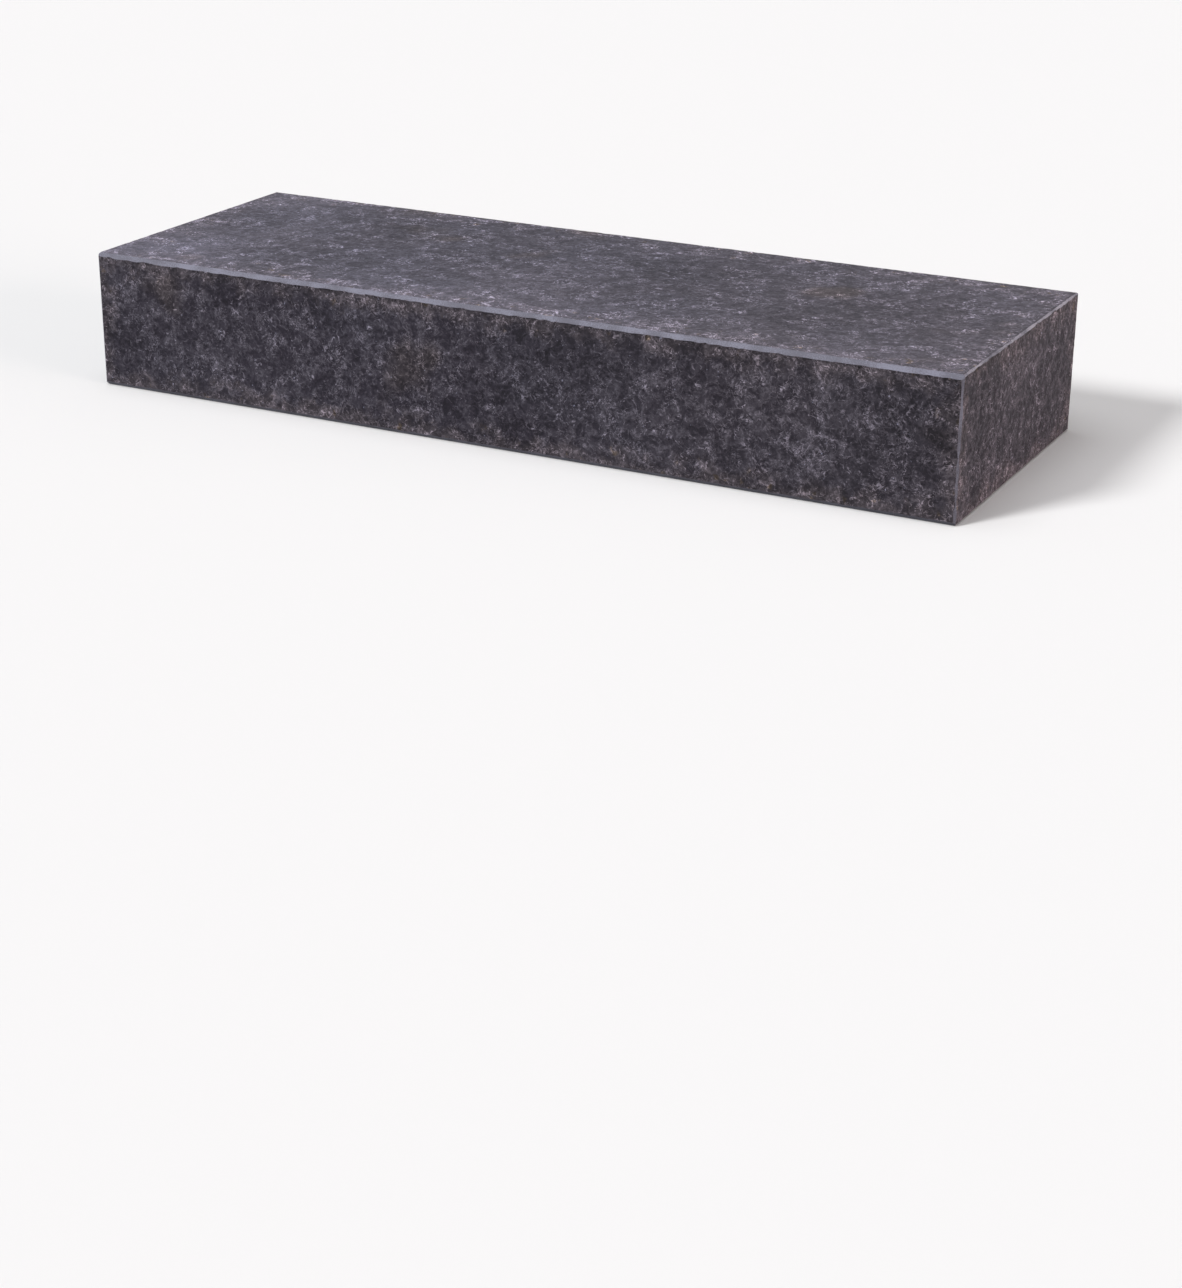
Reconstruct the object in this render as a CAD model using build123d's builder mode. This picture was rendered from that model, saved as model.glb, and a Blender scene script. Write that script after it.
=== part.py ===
"""Block step of basalt: one solid stone, sawn to size, with bevelled arrises.

The stone is long in X, its tread runs back from the riser in Y, and its rise is in Z.
The riser faces -Y. The origin is the middle of the underside, so the stone stands on Z = 0.
The tread, the riser and the two ends are flamed faces. The back and the underside stay sawn.
The stone is what three outlines have in common: its side view, its front view and its plan.
"""

import os

from build123d import *

# Driving dimensions, in millimetres.
LENGTH = 1000.0  # along the riser
TREAD_DEPTH = 350.0  # from the riser to the back
RISE = 150.0  # from the underside to the tread

NOSING_BEVEL = 5.0  # long arris between the tread and the riser
FOOT_BEVEL = 5.0  # long arris between the riser and the underside
END_BEVEL = 2.5  # top and bottom arrises of the two ends
CORNER_BEVEL = 3.0  # upright arrises between the riser and the ends
BACK_EASING = 1.0  # arrises round the back, rubbed just enough to handle

with BuildPart() as block_step:
    # Side view: the riser carries the two wide bevels, the back is only eased.
    with BuildSketch(Plane.YZ) as side_view:
        with Locations((0, RISE / 2)):
            Rectangle(TREAD_DEPTH, RISE)
        riser_corners, back_corners = side_view.vertices().group_by(Axis.X)
        foot_corner, nosing_corner = riser_corners.sort_by(Axis.Y)
        chamfer(foot_corner, FOOT_BEVEL)
        chamfer(nosing_corner, NOSING_BEVEL)
        chamfer(back_corners, BACK_EASING)
    extrude(amount=LENGTH / 2, both=True)

    # Front view: the ends meet the tread and the underside in a narrow bevel.
    with BuildSketch(Plane.XZ) as front_view:
        with Locations((0, RISE / 2)):
            Rectangle(LENGTH, RISE)
        chamfer(front_view.vertices(), END_BEVEL)
    extrude(amount=TREAD_DEPTH, both=True, mode=Mode.INTERSECT)

    # Plan: the upright arrises are bevelled beside the riser and eased beside the back.
    with BuildSketch(Plane.XY) as plan:
        Rectangle(LENGTH, TREAD_DEPTH)
        riser_corners, back_corners = plan.vertices().group_by(Axis.Y)
        chamfer(riser_corners, CORNER_BEVEL)
        chamfer(back_corners, BACK_EASING)
    extrude(amount=RISE, mode=Mode.INTERSECT)

block_step.part.label = "block_step"

os.makedirs("parts", exist_ok=True)
export_step(block_step.part, "parts/block_step.step")

size = block_step.part.bounding_box().size
print(f"block step {size.X:.1f} x {size.Y:.1f} x {size.Z:.1f} mm")
print(f"volume {block_step.part.volume / 1e9:.5f} m3 in {len(block_step.part.faces())} faces")
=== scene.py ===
# %% [markdown]
# # A basalt block step
#
# This lesson dresses one solid stone. The stone is a step: its long front is the riser, and its top
# is the tread. Three kinds of surface meet on it. The tread, the riser and the two ends were
# flamed, which bursts small scales off the stone and leaves a rough skin, and the tread was then
# brushed. The arrises, as a mason calls the edges, were ground to narrow bevels. The back and the
# underside stayed as the saw left them.
#
# The plan is to measure the plain stone that is already there, build a finer mesh over it, let a
# Geometry Nodes tree sink the flamed skin into that mesh, and give each finish a material.

# %% Load the plain stone
import itertools
import math

import bmesh
import bpy
from mathutils import Matrix, Vector, noise
from mathutils.geometry import delaunay_2d_cdt


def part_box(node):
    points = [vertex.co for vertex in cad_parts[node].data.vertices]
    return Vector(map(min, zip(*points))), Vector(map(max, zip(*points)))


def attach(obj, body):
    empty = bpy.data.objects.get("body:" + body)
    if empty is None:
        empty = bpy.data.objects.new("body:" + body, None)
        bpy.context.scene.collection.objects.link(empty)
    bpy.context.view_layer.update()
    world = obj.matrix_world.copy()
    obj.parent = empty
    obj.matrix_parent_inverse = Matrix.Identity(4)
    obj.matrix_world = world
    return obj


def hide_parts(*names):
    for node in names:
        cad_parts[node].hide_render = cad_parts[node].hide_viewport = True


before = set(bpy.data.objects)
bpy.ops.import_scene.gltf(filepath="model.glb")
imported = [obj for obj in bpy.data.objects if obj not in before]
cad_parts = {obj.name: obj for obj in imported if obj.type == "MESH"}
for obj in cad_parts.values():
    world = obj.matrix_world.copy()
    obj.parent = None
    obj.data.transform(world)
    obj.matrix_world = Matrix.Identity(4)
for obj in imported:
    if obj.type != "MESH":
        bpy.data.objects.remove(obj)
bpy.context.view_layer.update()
stone_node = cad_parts["block_step"]
low_corner, high_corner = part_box("block_step")
print("plain stone from", [round(v, 4) for v in low_corner], "to", [round(v, 4) for v in high_corner])

# %% [markdown]
# ## Measuring the bevels
#
# A mason gives each arris its own bevel: wide at the nosing, narrow at the ends. The widths are
# already in the plain stone, so they are read from it instead of being typed again. A face of the
# stone is a plane of the box around it, and the points that lie on that plane mark where its
# bevels begin. The axes are numbered 0, 1 and 2 for X, Y and Z.

# %% Read the flat part of each face
FACES = {
    "left_end": (0, -1),
    "right_end": (0, 1),
    "riser": (1, -1),
    "back": (1, 1),
    "underside": (2, -1),
    "tread": (2, 1),
}
TOUCH = 1e-5  # metres; a point this close to a plane lies on it


def plane_of(axis, side):
    """Where the face on that side of the stone lies along its own axis."""
    return high_corner[axis] if side > 0 else low_corner[axis]


def flat_part(axis, side):
    """The lowest and highest corner of the flat part of a face, inside its bevels."""
    points = [v.co for v in stone_node.data.vertices if abs(v.co[axis] - plane_of(axis, side)) < TOUCH]
    lowest = [min(p[k] for p in points) for k in range(3)]
    highest = [max(p[k] for p in points) for k in range(3)]
    return lowest, highest


flat_parts = {name: flat_part(*FACES[name]) for name in FACES}
for name, (lowest, highest) in flat_parts.items():
    size = [round((b - a) * 1000, 1) for a, b in zip(lowest, highest)]
    print(name, "is flat over", size, "mm")

# %% [markdown]
# ## A finer mesh of the stone
#
# Flaming leaves scars a few millimetres wide, so the mesh needs a point every 2 to 3 mm where the
# stone is flamed. Subdividing the plain stone would give long thin faces and would spend as many on
# the sawn sides, which need few. So its points are laid out one by one. Each edge of the stone has a
# fixed number of stations, and faces that share an edge share its stations. The bevels then join
# the faces point to point, and the shell is closed.

# %% Choose the stations and place them on a face
STATIONS = (415, 116, 59)  # steps along X, Y and Z


def face_axes(name):
    """The two axes that a face spreads along, in order."""
    return [k for k in range(3) if k != FACES[name][0]]


def face_point(name, i, j):
    """The place of station (i, j) on a face."""
    axis, side = FACES[name]
    u, v = face_axes(name)
    lowest, highest = flat_parts[name]
    place = [0.0, 0.0, 0.0]
    place[axis] = plane_of(axis, side)
    place[u] = lowest[u] + (highest[u] - lowest[u]) * i / STATIONS[u]
    place[v] = lowest[v] + (highest[v] - lowest[v]) * j / STATIONS[v]
    return Vector(place)


for k, steps in enumerate(STATIONS):
    spacing = (high_corner[k] - low_corner[k]) / steps
    print("along", "XYZ"[k], "there is a station every", round(spacing * 1000, 2), "mm")

# %% [markdown]
# ## What a point knows
#
# The points are pushed and coloured later, by rules that see one point at a time. So each point is
# told what those rules need: which way it may be pushed and how far, how far it lies from the rim
# of its face, whether its face was brushed, how strong the pattern is there, and how much paler its
# face is painted as a whole for the light it gets. A face of the mesh is told its finish, and a
# bevel whether it is painted paler for the light it catches.

# %% Give the mesh its layers
FLAMED = ("tread", "riser", "left_end", "right_end")
SAWN = ("underside", "back")
BRUSHED = {"tread": 1.0}  # how far a face was brushed smooth after the flaming
CONTRAST = {"tread": 0.88, "riser": 1.08, "left_end": 1.30, "right_end": 1.30}  # of its pattern
PAINTED_FACE_LIGHT = {"tread": 0.048, "left_end": 0.034, "right_end": 0.034}  # how much paler a face is made: mostly painted light, a little the brushing on the tread
DEEPEST = 0.0014  # metres; no scar in the flamed skin is deeper
FLAMED_FINISH, GROUND_FINISH, SAWN_FINISH = 0, 1, 2

shell = bmesh.new()
push_layer = shell.verts.layers.float_vector.new("push")
reach_layer = shell.verts.layers.float.new("reach")
rim_layer = shell.verts.layers.float.new("rim")
brushed_layer = shell.verts.layers.float.new("brushed")
contrast_layer = shell.verts.layers.float.new("contrast")
# painted light: how much paler a whole face is made for the light it gets
painted_face_light_layer = shell.verts.layers.float.new("painted_face_light")
bevel_layer = shell.verts.layers.float.new("on_bevel")
finish_layer = shell.faces.layers.int.new("finish")
# painted light: which bevels are made paler for the light they catch
painted_bevel_light_layer = shell.faces.layers.float.new("painted_bevel_light")
print("layers of the points:", shell.verts.layers.float.keys() + shell.verts.layers.float_vector.keys())

# %% Lay a grid on each face


def inward(name):
    """The direction from a face into the stone."""
    axis, side = FACES[name]
    direction = Vector((0.0, 0.0, 0.0))
    direction[axis] = -side
    return direction


def add_grid_point(name, i, j):
    """Makes the point at station (i, j) of a face and tells it what it has to know."""
    u, v = face_axes(name)
    lowest, highest = flat_parts[name]
    point = shell.verts.new(face_point(name, i, j))
    to_side = min(point.co[u] - lowest[u], highest[u] - point.co[u])
    to_end = min(point.co[v] - lowest[v], highest[v] - point.co[v])
    point[push_layer] = inward(name)
    point[reach_layer] = DEEPEST if name in FLAMED else 0.0
    point[rim_layer] = max(min(to_side, to_end), 0.0)
    point[brushed_layer] = BRUSHED.get(name, 0.0)
    point[contrast_layer] = CONTRAST.get(name, 0.0)
    point[painted_face_light_layer] = PAINTED_FACE_LIGHT.get(name, 0.0)
    return point


grid_points = {}
for name in FACES:
    u, v = face_axes(name)
    for i, j in itertools.product(range(STATIONS[u] + 1), range(STATIONS[v] + 1)):
        on_border = i in (0, STATIONS[u]) or j in (0, STATIONS[v])
        if name in FLAMED or on_border:
            grid_points[name, i, j] = add_grid_point(name, i, j)
for name in FLAMED:
    u, v = face_axes(name)
    for i, j in itertools.product(range(STATIONS[u]), range(STATIONS[v])):
        ring = [(i, j), (i + 1, j), (i + 1, j + 1), (i, j + 1)]
        shell.faces.new([grid_points[name, *station] for station in ring])
print("points on the faces:", len(grid_points))

# %% [markdown]
# ## The bevels
#
# The bevels were ground after the flaming, so they are true planes. Each is two strips of faces,
# with a row of points along its middle that may be chipped a little. The two bevels between the
# tread and the ends are painted paler for the light they catch, and the mesh stores that on them.

# %% Find the points of a bevel
CHIP_REACH = 0.0009  # metres; the deepest chip out of a bevel

slides = {}  # for a border point: its face, its step along the bevel per metre of depth, the whole depth


def border_station(name, axis, side, k):
    """The station of a face that lies on its border towards another face, k steps along."""
    u, _ = face_axes(name)
    end = STATIONS[axis] if side > 0 else 0
    return (name, end, k) if axis == u else (name, k, end)


def bevel_column(first, second, k):
    """The points across a bevel, k steps along it: on the first face, in the middle, on the second."""
    axis_a, side_a = FACES[first]
    axis_b, side_b = FACES[second]
    start = grid_points[border_station(first, axis_b, side_b, k)]
    end = grid_points[border_station(second, axis_a, side_a, k)]
    across = end.co - start.co
    middle = shell.verts.new((start.co + end.co) / 2)
    middle[push_layer] = (inward(first) + inward(second)).normalized()
    middle[reach_layer] = min(CHIP_REACH, across.length / 4)
    middle[bevel_layer] = 1.0
    for point, name, step in ((start, first, across), (end, second, -across)):
        depth = abs(step.dot(inward(name)))
        slides.setdefault(point, []).append((name, step / depth, depth))
    return start, middle, end


# %% Join the faces with bevels
# the bevels that are painted paler for the light they catch
PAINTED_LIGHT_BEVELS = (("left_end", "tread"), ("right_end", "tread"))

bevel_middles = {}  # the middle point of each end of each bevel
for first, second in itertools.combinations(FACES, 2):
    axis_a, side_a = FACES[first]
    axis_b, side_b = FACES[second]
    if axis_a == axis_b:
        continue
    along = 3 - axis_a - axis_b
    columns = [bevel_column(first, second, k) for k in range(STATIONS[along] + 1)]
    for one, other in itertools.pairwise(columns):
        for row in range(2):
            strip = shell.faces.new([one[row], other[row], other[row + 1], one[row + 1]])
            strip[finish_layer] = GROUND_FINISH
            strip[painted_bevel_light_layer] = float((first, second) in PAINTED_LIGHT_BEVELS)
    for along_side, column in ((-1, columns[0]), (1, columns[-1])):
        corner = [0, 0, 0]
        corner[axis_a] = side_a
        corner[axis_b] = side_b
        corner[along] = along_side
        _, middle, _ = column
        middle[reach_layer] = 0.0
        bevel_middles[first, second, tuple(corner)] = middle
print("points on the borders of the faces:", len(slides))

# %% [markdown]
# ## The wavering borders
#
# The rough skin runs out into the bevels. Where the skin beside a bevel is deep, the bevel's border
# steps back along its own plane, and that is what makes the border of a real one waver. Each
# border point therefore gets a push that keeps it on the bevel, and a reach that keeps it from
# crossing it.

# %% Let the borders step back along the bevels
BORDER_SHARE = 0.55  # the share of a bevel's width that its border may step back

for point, moves in slides.items():
    name = moves[0][0]
    sideways = sum((step - inward(name) for _, step, _ in moves), Vector((0.0, 0.0, 0.0)))
    point[push_layer] = inward(name) + sideways
    if name in FLAMED:
        point[reach_layer] = min(DEEPEST, BORDER_SHARE * min(depth for _, _, depth in moves))
deepest_step = max(point[reach_layer] for point in slides)
print("a border steps back by up to", round(deepest_step * 1000, 2), "mm")

# %% [markdown]
# ## The corners
#
# Three bevels meet at each of the eight corners. Their ends, and the corners of the three faces,
# make a ring of six points, which one small face closes.

# %% Close the corners
for corner in itertools.product((-1, 1), repeat=3):
    x_side, y_side, z_side = corner
    x_end, y_end, z_end = [STATIONS[k] if corner[k] > 0 else 0 for k in range(3)]
    end = "left_end" if x_side < 0 else "right_end"
    front = "riser" if y_side < 0 else "back"
    cap = "underside" if z_side < 0 else "tread"
    ring = [
        grid_points[end, y_end, z_end],
        bevel_middles[end, front, corner],
        grid_points[front, x_end, z_end],
        bevel_middles[front, cap, corner],
        grid_points[cap, x_end, y_end],
        bevel_middles[end, cap, corner],
    ]
    shell.faces.new(ring)[finish_layer] = GROUND_FINISH
print("faces so far:", len(shell.faces))

# %% [markdown]
# ## The sawn sides
#
# The back and the underside are flat, so they need triangles only to reach every point of their
# borders. A loose net of points inside the border keeps the triangles from growing long and thin.
# Delaunay triangulation joins such points in the evenest way.

# %% Fill the sawn sides
NET_STEP = 0.014  # metres between the points inside a sawn side
NET_JITTER = 0.25  # how far a point strays from its place, as a share of the step
JITTER_STEPS = (7.3, 5.1, 3.7)  # the steps through the noise, uneven so that no place repeats
NET_SEED = 1  # with no seed, or with 0, vector noise starts from the clock and each run differs
MERGE_DISTANCE = 1e-7  # metres


def net_places(name):
    """The places of the loose net inside the border of a sawn side."""
    axis, _ = FACES[name]
    u, v = face_axes(name)
    lowest, highest = flat_parts[name]
    columns = int((highest[u] - lowest[u]) / NET_STEP)
    rows = int((highest[v] - lowest[v]) / NET_STEP)
    places = []
    for i, j in itertools.product(range(1, columns), range(1, rows)):
        seed = Vector([a * b for a, b in zip((i, j, axis), JITTER_STEPS)])
        stray = noise.noise_vector(seed) * NET_JITTER
        across = (i + 0.5 * (j % 2) - 0.25 + stray.x) / columns
        upward = (j + stray.y) / rows
        place_u = lowest[u] + (highest[u] - lowest[u]) * across
        place_v = lowest[v] + (highest[v] - lowest[v]) * upward
        places.append(Vector((place_u, place_v)))
    return places


def fill_sawn(name):
    """Fills a sawn side with triangles between its border and its net."""
    axis, side = FACES[name]
    u, v = face_axes(name)
    points = [point for key, point in grid_points.items() if key[0] == name]
    border = [Vector((point.co[u], point.co[v])) for point in points]
    net = net_places(name)
    for place in net:
        spot = [0.0, 0.0, 0.0]
        spot[axis] = plane_of(axis, side)
        spot[u] = place.x
        spot[v] = place.y
        points.append(shell.verts.new(spot))
    filled = delaunay_2d_cdt(border + net, [], [], 0, MERGE_DISTANCE)
    triangles = filled[2]
    origins = filled[3]
    for triangle in triangles:
        corners = [points[origins[k][0]] for k in triangle]
        shell.faces.new(corners)[finish_layer] = SAWN_FINISH
    return len(triangles)


noise.seed_set(NET_SEED)
for name in SAWN:
    print("triangles on the", name, fill_sawn(name))

# %% Close the shell and make it an object
bmesh.ops.recalc_face_normals(shell, faces=shell.faces)
open_edges = [edge for edge in shell.edges if len(edge.link_faces) != 2]
triangle_count = sum(len(face.verts) - 2 for face in shell.faces)
print("open edges:", len(open_edges), "triangles:", triangle_count)

stone_mesh = bpy.data.meshes.new("dressed_stone")
shell.to_mesh(stone_mesh)
shell.free()
stone = bpy.data.objects.new("dressed_stone", stone_mesh)
bpy.context.scene.collection.objects.link(stone)

# %% [markdown]
# ## Helpers for node trees
#
# The same noise has to shape the skin in Geometry Nodes and colour it in the shader, or the dark
# blots would not lie in the hollows. Noise, Voronoi and Math nodes exist in both kinds of tree and
# give the same numbers there. So the helpers below work in either tree, and the pattern of the
# stone is written once, as a function that takes the tree it is to be built in.

# %% Write the helpers for sums


def new_node(tree, kind, inputs=None, **settings):
    """Adds a node, sets its properties, and links or sets its inputs by name or number."""
    node = tree.nodes.new(kind)
    for key, value in settings.items():
        setattr(node, key, value)
    for key, value in (inputs or {}).items():
        socket = node.inputs[key]
        if isinstance(value, bpy.types.NodeSocket):
            tree.links.new(value, socket)
        else:
            socket.default_value = value
    return node


def maths(tree, operation, *values):
    """A Math node on one, two or three values."""
    return new_node(tree, "ShaderNodeMath", dict(enumerate(values)), operation=operation).outputs[0]


def product(tree, first, *others):
    """All the values multiplied."""
    for other in others:
        first = maths(tree, "MULTIPLY", first, other)
    return first


def total(tree, start, *parts):
    """A start value plus each part times its weight."""
    for part, weight in parts:
        start = maths(tree, "MULTIPLY_ADD", part, weight, start)
    return start


def centred(tree, value):
    """A value from 0 to 1 as one from -0.5 to 0.5."""
    return maths(tree, "SUBTRACT", value, 0.5)


def between(tree, share, first, second):
    """The first number where the share is 0, the second where it is 1."""
    return maths(tree, "MULTIPLY_ADD", share, second - first, first)


def ramp(tree, value, low, high, to_low=0.0, to_high=1.0):
    """A smooth step: to_low where the value is under low, to_high where it is over high."""
    inputs = {"Value": value, "From Min": low, "From Max": high, "To Min": to_low, "To Max": to_high}
    return new_node(tree, "ShaderNodeMapRange", inputs, interpolation_type="SMOOTHSTEP").outputs["Result"]


def fade(tree, value, low, high):
    """A smooth step down: 1 where the value is under low, 0 where it is over high."""
    return ramp(tree, value, low, high, 1.0, 0.0)


# %% Write the helpers for noise


def shifted(tree, place, shift):
    """The place moved by a fixed step, so that two noises of one scale differ."""
    return new_node(tree, "ShaderNodeVectorMath", {0: place, 1: shift}, operation="ADD").outputs[0]


def noise_node(tree, place, per_metre, shift=None, detail=2.0, roughness=0.5, **settings):
    """A Noise node with a given number of waves in a metre."""
    inputs = {
        "Vector": place if shift is None else shifted(tree, place, shift),
        "Scale": per_metre,
        "Detail": detail,
        "Roughness": roughness,
        **settings,
    }
    return new_node(tree, "ShaderNodeTexNoise", inputs)


def noise_field(tree, place, per_metre, **settings):
    """The value of such a noise, which is mostly near 0.5."""
    return noise_node(tree, place, per_metre, **settings).outputs["Fac"]


def wandering(tree, place, per_metre, metres):
    """The place led astray by noise, by up to about half the given distance."""
    stray = noise_node(tree, place, per_metre).outputs["Color"]
    middle = (0.5, 0.5, 0.5)
    stray = new_node(tree, "ShaderNodeVectorMath", {0: stray, 1: middle}, operation="SUBTRACT").outputs[0]
    inputs = {0: stray, 1: (metres, metres, metres), 2: place}
    return new_node(tree, "ShaderNodeVectorMath", inputs, operation="MULTIPLY_ADD").outputs[0]


# %% [markdown]
# ## The lines in the skin
#
# Where two scars meet, the stone is bruised along a thin, curly line. A noise crosses its own
# middle along just such lines, so they are drawn wherever it does. Left whole they would make a
# net like lace, and a second, slower noise breaks them up into tufts. Ridged noise adds the
# soft crests that branch between them.

# %% Write the lines
CURLS_PER_METRE = 92.0
FINE_CURLS_PER_METRE = 1.8 * CURLS_PER_METRE
RIDGES_PER_METRE = 100.0


def lines_between(tree, place, per_metre, width, shift=None):
    """Thin curly lines: the places where a noise crosses its own middle."""
    crossing = noise_field(tree, place, per_metre, shift=shift, detail=2.5, roughness=0.55, Distortion=0.6)
    return fade(tree, maths(tree, "ABSOLUTE", centred(tree, crossing)), 0.0, width)


def tufts(tree, place, per_metre, shift):
    """Patches from 0 to 1 that break a net of lines up."""
    return ramp(tree, noise_field(tree, place, per_metre, shift=shift, detail=3.0, roughness=0.6), 0.44, 0.58)


def curls_in(tree, place):
    """Short curly lines: a coarse and a fine net of lines, each in tufts of its own."""
    coarse = lines_between(tree, place, CURLS_PER_METRE, 0.027)
    fine = lines_between(tree, place, FINE_CURLS_PER_METRE, 0.038, shift=(4.4, 1.3, 7.7))
    coarse = product(tree, coarse, tufts(tree, place, 120.0, (3.7, 5.1, 1.9)))
    fine = product(tree, fine, tufts(tree, place, 60.0, (1.7, 2.1, 0.9)), 0.8)
    return maths(tree, "MAXIMUM", coarse, fine)


def ridges_in(tree, place):
    """Sharp-crested ridges that branch, with finer ones beside them."""
    inputs = {
        "Vector": place,
        "Scale": RIDGES_PER_METRE,
        "Detail": 3.0,
        "Roughness": 0.6,
        "Lacunarity": 2.0,
        "Offset": 1.0,
        "Gain": 2.0,
    }
    ridges = new_node(tree, "ShaderNodeTexNoise", inputs, noise_type="RIDGED_MULTIFRACTAL").outputs["Fac"]
    return ramp(tree, ridges, 1.30, 1.95)


print("curls are about", round(1000 / CURLS_PER_METRE), "mm across")

# %% [markdown]
# ## The pattern of the flamed skin
#
# A flame heats the skin of the stone until thin scales burst off. Each leaves a shallow dished
# scar about 10 mm wide. Patches of fresh scars lie among smoother ones. The pattern has six parts:
# the patches, the scars, the dark blots in the hollows, the curls and ridges between them, and
# small pale flecks. The place is led astray by noise first, or the scars would be round.

# %% Write the pattern
PATCHES_PER_METRE = 36.0
SCARS_PER_METRE = 88.0
BLOTS_PER_METRE = 85.0
FLECKS_PER_METRE = 175.0


def flamed_pattern(tree, place):
    """The parts of the flamed skin's pattern, each from 0 to 1."""
    loose = wandering(tree, place, 50.0, 0.010)
    strayed = wandering(tree, loose, 170.0, 0.005)
    rough = {"detail": 3.0, "roughness": 0.6}
    patches = noise_field(tree, place, PATCHES_PER_METRE, shift=(3.1, 1.7, 0.4), **rough)
    flecks = noise_field(tree, loose, FLECKS_PER_METRE, shift=(6.6, 0.2, 3.3), **rough)
    blots = noise_field(tree, strayed, BLOTS_PER_METRE, shift=(0.7, 8.1, 4.9), detail=2.5, roughness=0.6)
    cells = {"Vector": strayed, "Scale": SCARS_PER_METRE, "Smoothness": 0.3}
    from_middle = new_node(tree, "ShaderNodeTexVoronoi", cells, feature="SMOOTH_F1").outputs["Distance"]
    return {
        "patches": ramp(tree, patches, 0.40, 0.62),
        "scars": fade(tree, from_middle, 0.10, 0.70),
        "blots": fade(tree, blots, 0.43, 0.57),
        "curls": curls_in(tree, strayed),
        "ridges": ridges_in(tree, loose),
        "flecks": ramp(tree, flecks, 0.57, 0.68),
    }


print("scars are about", round(1000 / SCARS_PER_METRE), "mm wide")

# %% [markdown]
# ## Sinking the skin into the mesh
#
# Geometry Nodes can move every point of the mesh by a rule. The rule is the pattern above: the
# scars and blots sink, and they sink deepest in the rough patches. Everything goes inward, so the
# stone never grows past its sawn size. The depths are inputs of the tree, so a lighter or heavier
# flaming is a change of one number.

# %% Write the rules of depth
TREE_INPUTS = {
    "Swell Depth": 0.00040,
    "Scar Depth": 0.00075,
    "Blot Depth": 0.00045,
    "Brushed Share": 0.45,
    "Chip Depth": 0.00045,
}


def stored(tree, name, kind="FLOAT"):
    """What the mesh stores under a name, in Geometry Nodes."""
    return new_node(tree, "GeometryNodeInputNamedAttribute", {"Name": name}, data_type=kind).outputs[0]


def skin_depth(tree, place, enter):
    """How deep the flamed skin lies, after brushing has taken its share."""
    pattern = flamed_pattern(tree, place)
    swell = noise_field(tree, place, 26.0, shift=(5.2, 0.9, 2.6))
    sunk = maths(tree, "MULTIPLY", pattern["scars"], enter.outputs["Scar Depth"])
    sunk = total(tree, sunk, (pattern["blots"], enter.outputs["Blot Depth"]))
    sunk = product(tree, sunk, between(tree, pattern["patches"], 0.4, 1.0))
    sunk = total(tree, sunk, (swell, enter.outputs["Swell Depth"]))
    left = ramp(tree, stored(tree, "brushed"), 0.0, 1.0, 1.0, enter.outputs["Brushed Share"])
    return product(tree, sunk, left)


def chip_depth(tree, place, enter):
    """How deep the few small chips out of a bevel are."""
    chips = noise_field(tree, place, 55.0, detail=3.0, roughness=0.6)
    return product(tree, ramp(tree, chips, 0.6, 0.75), enter.outputs["Chip Depth"])


together = sum(TREE_INPUTS[name] for name in ("Swell Depth", "Scar Depth", "Blot Depth"))
print("the depths add up to", round(together * 1000, 2), "mm, of which", DEEPEST * 1000, "mm may show")

# %% Hand out the finishes
FINISH_MATERIALS = ("flamed_basalt", "ground_basalt", "sawn_basalt")
materials = {name: bpy.data.materials.new(name) for name in FINISH_MATERIALS}
for material in materials.values():
    stone_mesh.materials.append(material)


def set_finishes(tree, solid):
    """Gives each face the material of its finish."""
    finish = stored(tree, "finish", "INT")
    for number, name in enumerate(FINISH_MATERIALS):
        inputs = {2: finish, 3: number}
        chosen = new_node(tree, "FunctionNodeCompare", inputs, data_type="INT", operation="EQUAL").outputs[0]
        inputs = {"Geometry": solid, "Selection": chosen, "Material": materials[name]}
        solid = new_node(tree, "GeometryNodeSetMaterial", inputs).outputs[0]
    return solid


print("materials:", list(materials))

# %% Build the tree that flames the stone


def build_flaming_tree():
    """The Geometry Nodes tree that sinks the skin and hands out the three finishes."""
    tree = bpy.data.node_groups.new("flame the stone", "GeometryNodeTree")
    tree.interface.new_socket("Geometry", in_out="INPUT", socket_type="NodeSocketGeometry")
    for label, depth in TREE_INPUTS.items():
        socket = tree.interface.new_socket(label, in_out="INPUT", socket_type="NodeSocketFloat")
        socket.default_value = depth
    tree.interface.new_socket("Geometry", in_out="OUTPUT", socket_type="NodeSocketGeometry")
    enter = tree.nodes.new("NodeGroupInput")
    leave = tree.nodes.new("NodeGroupOutput")
    place = tree.nodes.new("GeometryNodeInputPosition").outputs[0]

    is_bevel = maths(tree, "GREATER_THAN", stored(tree, "on_bevel"), 0.5)
    inputs = {0: is_bevel, 1: skin_depth(tree, place, enter), 2: chip_depth(tree, place, enter)}
    depth = new_node(tree, "GeometryNodeSwitch", inputs, input_type="FLOAT").outputs[0]
    kept = maths(tree, "MINIMUM", depth, stored(tree, "reach"))
    inputs = {0: stored(tree, "push", "FLOAT_VECTOR"), "Scale": kept}
    offset = new_node(tree, "ShaderNodeVectorMath", inputs, operation="SCALE").outputs[0]
    inputs = {"Geometry": enter.outputs["Geometry"], "Offset": offset}
    moved = new_node(tree, "GeometryNodeSetPosition", inputs).outputs[0]
    solid = new_node(tree, "GeometryNodeRealizeInstances", {0: moved}).outputs[0]
    tree.links.new(set_finishes(tree, solid), leave.inputs[0])
    return tree


flaming_tree = build_flaming_tree()
print("nodes in the flaming tree:", len(flaming_tree.nodes))

# %% Run the tree on the stone
flaming = stone.modifiers.new("flaming", "NODES")
flaming.node_group = flaming_tree
for item in flaming_tree.interface.items_tree:
    if item.in_out == "INPUT" and item.name in TREE_INPUTS:
        flaming[item.identifier] = TREE_INPUTS[item.name]
        print(item.name, flaming[item.identifier])

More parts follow.
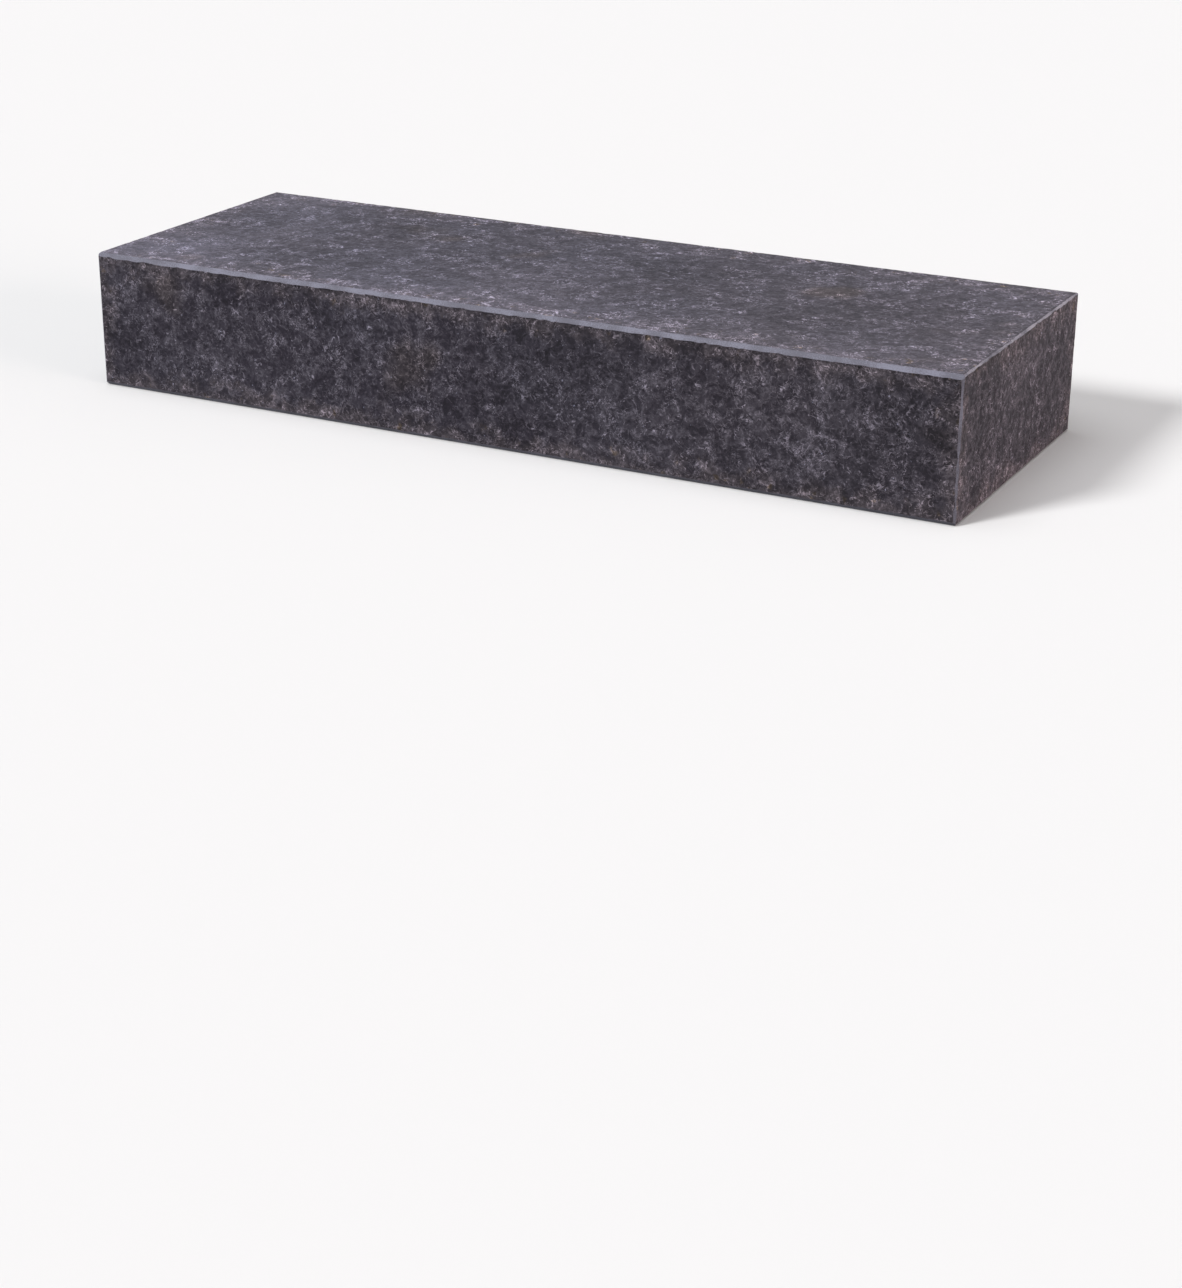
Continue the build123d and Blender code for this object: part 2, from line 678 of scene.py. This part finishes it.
# %% [markdown]
# ## From the tree to a plain mesh
#
# A live modifier is handy while trying depths, but a finished piece is a plain mesh. The evaluated
# stone is copied into one, and the modifier goes. Edges between two finishes are marked sharp, so
# that the bevels stay crisp lines while the skin is shaded smooth.

# %% Take the finished mesh


def finished_mesh(piece):
    """The evaluated mesh of a piece, with its modifiers removed."""
    depsgraph = bpy.context.evaluated_depsgraph_get()
    made = bpy.data.meshes.new_from_object(piece.evaluated_get(depsgraph), depsgraph=depsgraph)
    piece.modifiers.clear()
    return made


stone.data = finished_mesh(stone)
stone.data.name = "dressed_stone"
for name in ("push", "reach", "on_bevel", "finish"):
    stone.data.attributes.remove(stone.data.attributes[name])
print("triangles:", sum(len(p.vertices) - 2 for p in stone.data.polygons))

# %% Shade the skin smooth and the bevels crisp
SHARP_TURN = math.radians(30)

shaded = bmesh.new()
shaded.from_mesh(stone.data)
for face in shaded.faces:
    face.smooth = True
for edge in shaded.edges:
    kinds = {face.material_index for face in edge.link_faces}
    edge.smooth = len(kinds) == 1 and edge.calc_face_angle(0.0) < SHARP_TURN
print("sharp edges:", sum(not edge.smooth for edge in shaded.edges))
shaded.to_mesh(stone.data)
shaded.free()

# %% [markdown]
# ## Helpers for finishes
#
# A finish is a Principled shader whose colour, roughness and relief come from noises on the
# object's own coordinates, so the stone could be turned or lit in any way and stay itself. Tones
# are given as the eye sees them, evenly from black to white, and are made linear at the end.

# %% Write the helpers for finishes


def srgb(red, green, blue):
    """A colour given as it looks on screen, from 0 to 255, as the linear one a shader needs."""
    values = []
    for channel in (red, green, blue):
        level = channel / 255.0
        values.append(level / 12.92 if level <= 0.04045 else ((level + 0.055) / 1.055) ** 2.4)
    return (*values, 1.0)


def grey_seen(tree, tone):
    """A tone that looks evenly spaced to the eye, from 0 to 1, as the linear one a shader needs."""
    lifted = maths(tree, "MULTIPLY_ADD", tone, 1 / 1.055, 0.055 / 1.055)
    return maths(tree, "POWER", lifted, 2.4)


def blend(tree, share, first, second, kind="MIX"):
    """A Mix node on two colours, which sit at its sockets 6 and 7."""
    inputs = {0: share, 6: first, 7: second}
    return new_node(tree, "ShaderNodeMix", inputs, data_type="RGBA", blend_type=kind).outputs[2]


def on_mesh(tree, name):
    """What the mesh stores under a name, in a shader."""
    return new_node(tree, "ShaderNodeAttribute", attribute_name=name).outputs["Fac"]


def bump(tree, height):
    """The tilt that a height in metres gives to the surface."""
    inputs = {"Height": height, "Distance": 1.0, "Strength": 1.0}
    return new_node(tree, "ShaderNodeBump", inputs).outputs[0]


def start_material(name):
    """Clears a material and gives its tree, its shader and the place on the object."""
    material = materials[name]
    material.use_nodes = True
    tree = material.node_tree
    tree.nodes.clear()
    output = tree.nodes.new("ShaderNodeOutputMaterial")
    shader = tree.nodes.new("ShaderNodeBsdfPrincipled")
    tree.links.new(shader.outputs[0], output.inputs["Surface"])
    place = tree.nodes.new("ShaderNodeTexCoord").outputs["Object"]
    return tree, shader, place


print("a mid grey on screen is", round(srgb(128, 128, 128)[0], 3), "to a shader")

# %% [markdown]
# ## The parts of a flamed face
#
# The skin is not the same all over. Beside the arrises the flame is held off, and a ragged margin
# stays paler there, full of fine lines. The tread pales over a hand's breadth towards its rim, and
# further towards the riser. Towards the left end the stone is painted paler for the light there,
# the tread most. The ends pale beside the riser, and their foot is painted paler against the shade
# near the floor. A thin dark line of painted shade runs beside the bevels at the top of the stone.
# Each part is worked out from the place on the stone and from what the mesh stores there.

# %% Find the parts of a face
MARGIN = 0.024  # metres; the width of the ragged margin
RAGGED = 0.016  # metres; how far the rough patches shift its border
RIM_PALE = 0.10  # metres; how far the tread pales in from its rim
FRONT_PALE = 0.225  # metres; how far it pales in from the riser
LEFT_PALE = 0.24  # metres; how far the painted light towards the left end reaches
FOOT_PALE = 0.035  # metres; how high the painted light at the foot of an end reaches
PAINTED_WARM_LIGHT_LENGTH = 0.70  # metres; how far from the right end the painted warm light begins to turn the stone rosy
END_SKIN = (high_corner[0] - 0.0024, high_corner[0] - 0.0016)  # past it, only the ends have skin
CORNER_PALE = (low_corner[1] + 0.010, low_corner[1] + 0.050)  # where an end's paleness fades
TOP_EDGE = (high_corner[2] - 0.030, high_corner[2] - 0.010)  # where the painted shade line comes in
TOP_EDGE_WIDTH = 0.0035  # metres


def parts_of_face(tree, place, pattern):
    """How much a place belongs to each part of a flamed face, from 0 to 1."""
    along, inwards, up = new_node(tree, "ShaderNodeSeparateXYZ", {0: place}).outputs
    rim = on_mesh(tree, "rim")
    brushed = on_mesh(tree, "brushed")
    from_rim = product(tree, rim, between(tree, brushed, 1.0, 0.5))
    ragged = total(tree, from_rim, (centred(tree, pattern["patches"]), -RAGGED))
    margin = fade(tree, ragged, 0.0, MARGIN)
    on_end = ramp(tree, maths(tree, "ABSOLUTE", along), *END_SKIN)
    return {
        "brushed": brushed,
        "margin": margin,
        "rough": maths(tree, "MAXIMUM", pattern["patches"], product(tree, margin, 0.9)),
        "rim": fade(tree, rim, 0.0, RIM_PALE),
        "front": fade(tree, inwards, low_corner[1], low_corner[1] + FRONT_PALE),
        # painted light: paler towards the left end
        "left": fade(tree, along, low_corner[0], low_corner[0] + LEFT_PALE),
        # painted warm light towards the right end
        "right": ramp(tree, along, high_corner[0] - PAINTED_WARM_LIGHT_LENGTH, high_corner[0]),
        # painted light: the foot of each end is made paler against the shade near the floor
        "foot": product(tree, on_end, fade(tree, up, 0.0, FOOT_PALE)),
        "corner": product(tree, on_end, fade(tree, inwards, *CORNER_PALE)),
        # painted shade: a thin dark line beside the bevels at the top of the stone
        "painted_edge_shade": product(tree, fade(tree, rim, 0.0, TOP_EDGE_WIDTH), ramp(tree, up, *TOP_EDGE)),
    }


print("the skin of an end begins at", round(END_SKIN[0], 4), "m from the middle")

# %% [markdown]
# ## The marks in the skin
#
# Close up, the skin is curly bruised lines, soft ridges and dark blots, over a speckle of crystals.
# A few crystals spark, and near the arrises a few have fallen out and left pits, which are painted
# dark for the shade inside them. The marks are strongest where the skin is rough. On the brushed
# tread the lines gather in clusters.

# %% Find the marks
GRAIN_PER_METRE = 850.0
MOTTLE_PER_METRE = 330.0
SPECKS_PER_METRE = 240.0
BROAD_PER_METRE = 7.0


def marks_in_skin(tree, place, pattern, part):
    """The marks of the skin: lines and specks from 0 to 1, the others from about -0.5 to 0.5."""
    grain = noise_field(tree, place, GRAIN_PER_METRE, roughness=0.6)
    mottle = noise_field(tree, place, MOTTLE_PER_METRE, shift=(7.7, 2.2, 5.5), roughness=0.6)
    specks = noise_field(tree, place, SPECKS_PER_METRE, shift=(8.8, 0.6, 1.5))
    broad = noise_field(tree, place, BROAD_PER_METRE, shift=(0.3, 4.4, 1.2))
    speckle = total(tree, centred(tree, mottle), (centred(tree, grain), 1.0))
    cluster_tone = between(tree, part["rim"], 0.12, 0.26)
    fleck_tone = ramp(tree, mottle, 0.36, 0.58, 0.5, 1.2)
    return {
        "grain": grain,
        "mottle": mottle,
        "curls": product(tree, pattern["curls"], between(tree, part["rough"], 0.42, 0.98)),
        "ridges": pattern["ridges"],
        "blots": centred(tree, pattern["blots"]),
        "patches": centred(tree, pattern["patches"]),
        "speckle": product(tree, speckle, between(tree, part["rough"], 0.68, 1.18)),
        "sparks": ramp(tree, specks, 0.71, 0.76),
        # painted shade: the pits are darkened for the shade inside them
        "pits": product(tree, part["margin"], fade(tree, specks, 0.27, 0.32)),
        "broad": centred(tree, broad),
        "flecks": product(tree, pattern["flecks"], between(tree, part["rough"], 0.1, 1.0), fleck_tone),
        "clusters": product(tree, pattern["curls"], ramp(tree, part["rough"], 0.35, 1.0), cluster_tone),
    }


print("a grain is about", round(1000 / GRAIN_PER_METRE, 1), "mm")

# %% [markdown]
# ## The tone of the skin
#
# Basalt is a nearly black, fine-grained stone. Bruised lines are pale, and the blots between them
# stay dark. So the tone starts at that of plain skin, and each mark and each part of the face makes
# it paler or darker by a weight of its own. All the weights stand in two small tables, where
# they are easy to compare and to change.

# %% Add up the tone
PLAIN_TONE = 0.175
DARKEST_TONE = 0.045
MARK_TONES = {
    "curls": 0.34,
    "ridges": 0.08,
    "blots": -0.062,
    "speckle": 0.20,
    "patches": 0.030,
    "sparks": 0.25,
    # painted shade in the pits
    "pits": -0.12,
}
PLACE_TONES = {  # the first number is for a flamed face, the second for a brushed one
    "broad": (0.17, 0.17),
    "margin": (0.042, 0.010),
    "rim": (0.0, 0.016),
    "front": (0.0, 0.046),
    # painted light towards the left end, most on the tread
    "left": (0.017, 0.052),
    # painted light at the foot of each end, against the shade near the floor
    "foot": (0.034, 0.0),
    "corner": (0.038, 0.0),
    # painted shade beside the bevels at the top of the stone
    "painted_edge_shade": (-0.045, -0.045),
    "flecks": (0.04, 0.20),
    "clusters": (0.0, 1.0),
}


def skin_tone(tree, part, marks):
    """The tone of the skin at a place, as the eye sees it."""
    found = {**part, **marks}
    ups_and_downs = total(tree, 0.0, *[(marks[name], tone) for name, tone in MARK_TONES.items()])
    steps = [(found[name], between(tree, part["brushed"], *tones)) for name, tones in PLACE_TONES.items()]
    # painted light: the whole tread and the ends are made paler first
    tone = total(tree, on_mesh(tree, "painted_face_light"), (ups_and_downs, on_mesh(tree, "contrast")), *steps)
    return maths(tree, "MAXIMUM", maths(tree, "ADD", tone, PLAIN_TONE), DARKEST_TONE)


print("the palest line adds", MARK_TONES["curls"], "to a plain tone of", PLAIN_TONE)

# %% [markdown]
# ## The hue of the skin
#
# The stone is a cool violet grey. Its dark blots are a deeper violet, the brushed tread is bluer,
# and iron turns a few patches brown and a few spots in the margin ochre. Margins are rosy, and
# painted warm light turns the whole stone a little rosy towards its right end. A hue is a colour
# that the tone is multiplied by, so it moves the colour and leaves the tone about as it was.

# %% Mix the hue
HUES = {
    "stone": (0.99, 0.91, 1.15, 1.0),
    "blot": (0.94, 0.77, 1.26, 1.0),
    "rosy": (1.06, 0.88, 1.00, 1.0),
    "brown": (1.14, 0.90, 0.88, 1.0),
    "blue": (0.90, 0.90, 1.24, 1.0),
    "ochre": (1.30, 0.95, 0.62, 1.0),
}


def skin_hue(tree, place, tone, part, marks):
    """The hue of the skin, from dark to pale and from patch to patch."""
    blue = ramp(tree, noise_field(tree, place, 7.0, shift=(9.1, 2.0, 6.0)), 0.42, 0.62)
    brown = ramp(tree, noise_field(tree, place, 9.0, shift=(1.1, 6.0, 3.0)), 0.62, 0.74)
    rust = ramp(tree, noise_field(tree, place, 90.0, shift=(5.9, 7.3, 0.8)), 0.64, 0.72)
    layers = (
        ("blue", total(tree, 0.0, (blue, 0.2), (part["brushed"], 0.3))),
        # painted warm light: rosier towards the right end
        ("rosy", product(tree, part["right"], 0.3)),
        ("brown", product(tree, brown, 0.5)),
        ("rosy", product(tree, part["margin"], between(tree, part["brushed"], 0.6, 0.2))),
        ("ochre", product(tree, part["margin"], rust, 0.6)),
        ("blue", marks["sparks"]),
    )
    hue = blend(tree, ramp(tree, tone, 0.08, 0.31), HUES["blot"], HUES["stone"])
    for name, share in layers:
        hue = blend(tree, share, hue, HUES[name])
    return hue


print("hues:", list(HUES))

# %% Write the flamed finish
RELIEF = {"curls": 0.00035, "blots": -0.00035, "mottle": 0.00040, "grain": 0.00015}  # metres
FLAMED_IOR = 1.28  # low, because the rough skin has hardly any sheen


def write_flamed():
    """The flamed skin, from its tone, hue, roughness and relief."""
    tree, shader, place = start_material("flamed_basalt")
    pattern = flamed_pattern(tree, place)
    part = parts_of_face(tree, place, pattern)
    marks = marks_in_skin(tree, place, pattern, part)
    tone = skin_tone(tree, part, marks)
    hue = skin_hue(tree, place, tone, part, marks)
    grey = grey_seen(tree, tone)
    shade = new_node(tree, "ShaderNodeCombineColor", {0: grey, 1: grey, 2: grey}).outputs[0]
    tree.links.new(blend(tree, 1.0, hue, shade, "MULTIPLY"), shader.inputs["Base Color"])
    tree.links.new(ramp(tree, marks["grain"], 0.3, 0.7, 0.65, 0.85), shader.inputs["Roughness"])
    shader.inputs["IOR"].default_value = FLAMED_IOR
    height = total(tree, 0.0, *[(marks[name], metres) for name, metres in RELIEF.items()])
    tree.links.new(bump(tree, height), shader.inputs["Normal"])
    return len(tree.nodes)


print("nodes in the flamed finish:", write_flamed())

# %% [markdown]
# ## The ground bevels
#
# Grinding closes the surface and cuts through the crystals, so a bevel is paler and more even than
# the skin beside it, with a fine grain. The bevels between the tread and the ends are painted paler
# still for the light they catch, and the mesh stores which those are.

# %% Write the ground finish
GROUND_TONE = srgb(115, 115, 130)
GROUND_DARK = srgb(86, 85, 97)
# painted light: the paler tone of the bevels beside the ends of the tread
PAINTED_LIGHT_BEVEL_TONE = srgb(154, 151, 163)
GROUND_RELIEF = 0.00006  # metres
HONED_IOR = 1.4  # for stone that a tool has smoothed


def write_ground():
    """The ground bevels: pale, even and fine-grained."""
    tree, shader, place = start_material("ground_basalt")
    grain = noise_field(tree, place, 700.0, detail=3.0, roughness=0.6)
    soft = noise_field(tree, place, 30.0)
    evenness = total(tree, 0.0, (grain, 0.55), (soft, 0.45))
    # painted light: the bevels beside the ends of the tread are made paler
    pale = blend(tree, on_mesh(tree, "painted_bevel_light"), GROUND_TONE, PAINTED_LIGHT_BEVEL_TONE)
    colour = blend(tree, ramp(tree, evenness, 0.40, 0.60), GROUND_DARK, pale)
    tree.links.new(colour, shader.inputs["Base Color"])
    tree.links.new(ramp(tree, grain, 0.3, 0.7, 0.50, 0.62), shader.inputs["Roughness"])
    shader.inputs["IOR"].default_value = HONED_IOR
    tree.links.new(bump(tree, product(tree, grain, GROUND_RELIEF)), shader.inputs["Normal"])
    return len(tree.nodes)


print("nodes in the ground finish:", write_ground())

# %% [markdown]
# ## The finish of the saw
#
# A big circular blade leaves wide shallow arcs on the stone, a few millimetres apart, and a film
# of dried slurry that makes the side a plain grey. The arcs come from the distance to the middle
# of the blade, which lies far below the stone.

# %% Write the sawn finish
SAWN_DARK = srgb(72, 70, 76)
SAWN_TONE = srgb(102, 100, 106)
SAWN_PALE = srgb(134, 131, 136)
BLADE_CENTRE = (0.4, 0.0, -1.2)
BLADE_SWAY = 0.004  # metres
ARCS_PER_METRE = 190.0
ARC_RELIEF = 0.00025  # metres
SAWN_GRAIN_RELIEF = 0.00010  # metres


def arcs_of_blade(tree, place):
    """The arcs that the blade left, from about -0.5 to 0.5, stronger in some places than in others."""
    inputs = {0: place, 1: BLADE_CENTRE}
    from_blade = new_node(tree, "ShaderNodeVectorMath", inputs, operation="DISTANCE").outputs["Value"]
    radius = total(tree, from_blade, (noise_field(tree, place, 6.0), BLADE_SWAY))
    on_line = new_node(tree, "ShaderNodeCombineXYZ", {0: radius}).outputs[0]
    arcs = noise_field(tree, on_line, ARCS_PER_METRE, detail=3.0, roughness=0.6)
    strength = ramp(tree, noise_field(tree, place, 10.0, detail=3.0), 0.35, 0.65, 0.3, 1.0)
    return product(tree, centred(tree, arcs), strength)


def write_sawn():
    """The sawn sides: plain grey with the arcs of the blade."""
    tree, shader, place = start_material("sawn_basalt")
    arcs = arcs_of_blade(tree, place)
    grain = noise_field(tree, place, 700.0, detail=3.0, roughness=0.6)
    speckle = noise_field(tree, place, 260.0, roughness=0.6)
    cloud = noise_field(tree, place, 16.0, shift=(2.2, 5.1, 0.6), detail=4.0, roughness=0.6)
    share = total(
        tree,
        0.5,
        (arcs, 1.1),
        (centred(tree, grain), 1.0),
        (centred(tree, speckle), 1.2),
        (centred(tree, cloud), 1.4),
    )
    colour = blend(tree, ramp(tree, share, 0.0, 0.6), SAWN_DARK, SAWN_TONE)
    colour = blend(tree, ramp(tree, share, 0.5, 1.1), colour, SAWN_PALE)
    tree.links.new(colour, shader.inputs["Base Color"])
    tree.links.new(ramp(tree, grain, 0.3, 0.7, 0.6, 0.75), shader.inputs["Roughness"])
    shader.inputs["IOR"].default_value = HONED_IOR
    height = total(tree, 0.0, (arcs, ARC_RELIEF), (grain, SAWN_GRAIN_RELIEF))
    tree.links.new(bump(tree, height), shader.inputs["Normal"])
    return len(tree.nodes)


print("nodes in the sawn finish:", write_sawn())

# %% [markdown]
# ## The floor
#
# The stone stands on a pale, plain studio floor. A floor that is really so pale would throw much
# light back at the stone, so it looks pale to the camera and sends back what a mid grey one would.
# Light Path tells a ray from the camera, straight or by way of gloss or glass, from the others.

# %% Build the floor
FLOOR_HALF = 30.0  # metres
FLOOR_SEEN = 0.81  # how pale the floor looks
FLOOR_BOUNCE = 0.20  # how much of the light it sends back to the stone


def pale_where_seen(tree, elsewhere, seen):
    """One value for rays from the camera, also by way of gloss or glass, and another for the rest."""
    rays = tree.nodes.new("ShaderNodeLightPath")
    share = maths(tree, "MAXIMUM", rays.outputs["Is Camera Ray"], rays.outputs["Is Glossy Ray"])
    share = maths(tree, "MAXIMUM", share, rays.outputs["Is Transmission Ray"])
    return ramp(tree, share, 0.0, 1.0, elsewhere, seen)


floor_mesh = bpy.data.meshes.new("floor")
corners = [(x * FLOOR_HALF, y * FLOOR_HALF, 0.0) for x, y in ((-1, -1), (1, -1), (1, 1), (-1, 1))]
floor_mesh.from_pydata(corners, [], [(0, 1, 2, 3)])
floor = bpy.data.objects.new("floor", floor_mesh)
bpy.context.scene.collection.objects.link(floor)

floor_material = bpy.data.materials.new("pale_floor")
floor_material.use_nodes = True
floor_tree = floor_material.node_tree
floor_shader = floor_tree.nodes["Principled BSDF"]
level = pale_where_seen(floor_tree, FLOOR_BOUNCE, FLOOR_SEEN)
grey = new_node(floor_tree, "ShaderNodeCombineColor", {0: level, 1: level, 2: level}).outputs[0]
floor_tree.links.new(grey, floor_shader.inputs["Base Color"])
floor_shader.inputs["Roughness"].default_value = 1.0
floor_shader.inputs["Specular IOR Level"].default_value = 0.0
floor_mesh.materials.append(floor_material)
print("the floor is", 2 * FLOOR_HALF, "m wide")

# %% [markdown]
# ## The light
#
# A soft key from the front left lights the riser and throws the shadow to the right and the back.
# A broad light from above brightens the tread. A low, warm one from the right fills the right end,
# which the key doesn't reach. Suns are used because their light is the same all along the stone.
# An even white world fills the rest.

# %% Place the lamps and the world
WORLD_LEVEL = 0.18
BACKDROP_SEEN = 0.95
COOL = (0.97, 0.97, 1.0)
WARM = (1.0, 0.84, 0.77)


def add_sun(name, level, height, turn, softness, colour=(1.0, 1.0, 1.0)):
    """A sun at a height above the floor, turned to the left of straight ahead, in degrees."""
    lamp = bpy.data.lights.new(name, "SUN")
    lamp.energy = level * math.pi
    lamp.angle = math.radians(softness)
    lamp.color = colour
    sun = bpy.data.objects.new(name, lamp)
    bpy.context.scene.collection.objects.link(sun)
    up = math.radians(height)
    left = math.radians(turn)
    source = Vector((-math.sin(left) * math.cos(up), -math.cos(left) * math.cos(up), math.sin(up)))
    sun.rotation_euler = source.to_track_quat("Z", "Y").to_euler()


add_sun("key", level=0.84, height=36.0, turn=31.5, softness=14.0)
add_sun("top", level=0.42, height=80.0, turn=31.5, softness=50.0, colour=COOL)
add_sun("fill", level=0.9, height=4.0, turn=-88.0, softness=40.0, colour=WARM)

world = bpy.data.worlds.new("studio")
bpy.context.scene.world = world
world.use_nodes = True
backdrop = world.node_tree.nodes["Background"]
backdrop.inputs["Color"].default_value = (1.0, 1.0, 1.0, 1.0)
strength = pale_where_seen(world.node_tree, WORLD_LEVEL, BACKDROP_SEEN)
world.node_tree.links.new(strength, backdrop.inputs["Strength"])

# %% [markdown]
# ## The camera
#
# The photograph looks down at the stone from its right front. The lens and the place were worked
# out from the stone's straight edges in it.

# %% Place the camera
LENS = 72.44  # millimetres, on a 36 mm sensor along the picture's long side
SENSOR = 36.0  # millimetres
CAMERA_PLACE = (1.2551, -2.4037, 0.8293)
CAMERA_TURN = 27.17  # degrees to the left of straight ahead
CAMERA_DIP = 22.23  # degrees below level
CAMERA_ROLL = 0.39  # degrees

camera_data = bpy.data.cameras.new("camera")
camera_data.lens = LENS
camera_data.sensor_width = SENSOR
camera = bpy.data.objects.new("camera", camera_data)
bpy.context.scene.collection.objects.link(camera)
camera.matrix_world = (
    Matrix.Translation(CAMERA_PLACE)
    @ Matrix.Rotation(math.radians(CAMERA_TURN), 4, "Z")
    @ Matrix.Rotation(math.radians(90.0 - CAMERA_DIP), 4, "X")
    @ Matrix.Rotation(math.radians(CAMERA_ROLL), 4, "Z")
)
bpy.context.scene.camera = camera
bpy.context.scene.view_settings.view_transform = "Standard"
print("the camera is", round(Vector(CAMERA_PLACE).length, 2), "m from the middle of the stone's foot")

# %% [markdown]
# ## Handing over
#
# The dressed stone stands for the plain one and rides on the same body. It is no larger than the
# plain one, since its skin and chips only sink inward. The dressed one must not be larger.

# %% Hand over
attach(stone, "root")
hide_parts("block_step")
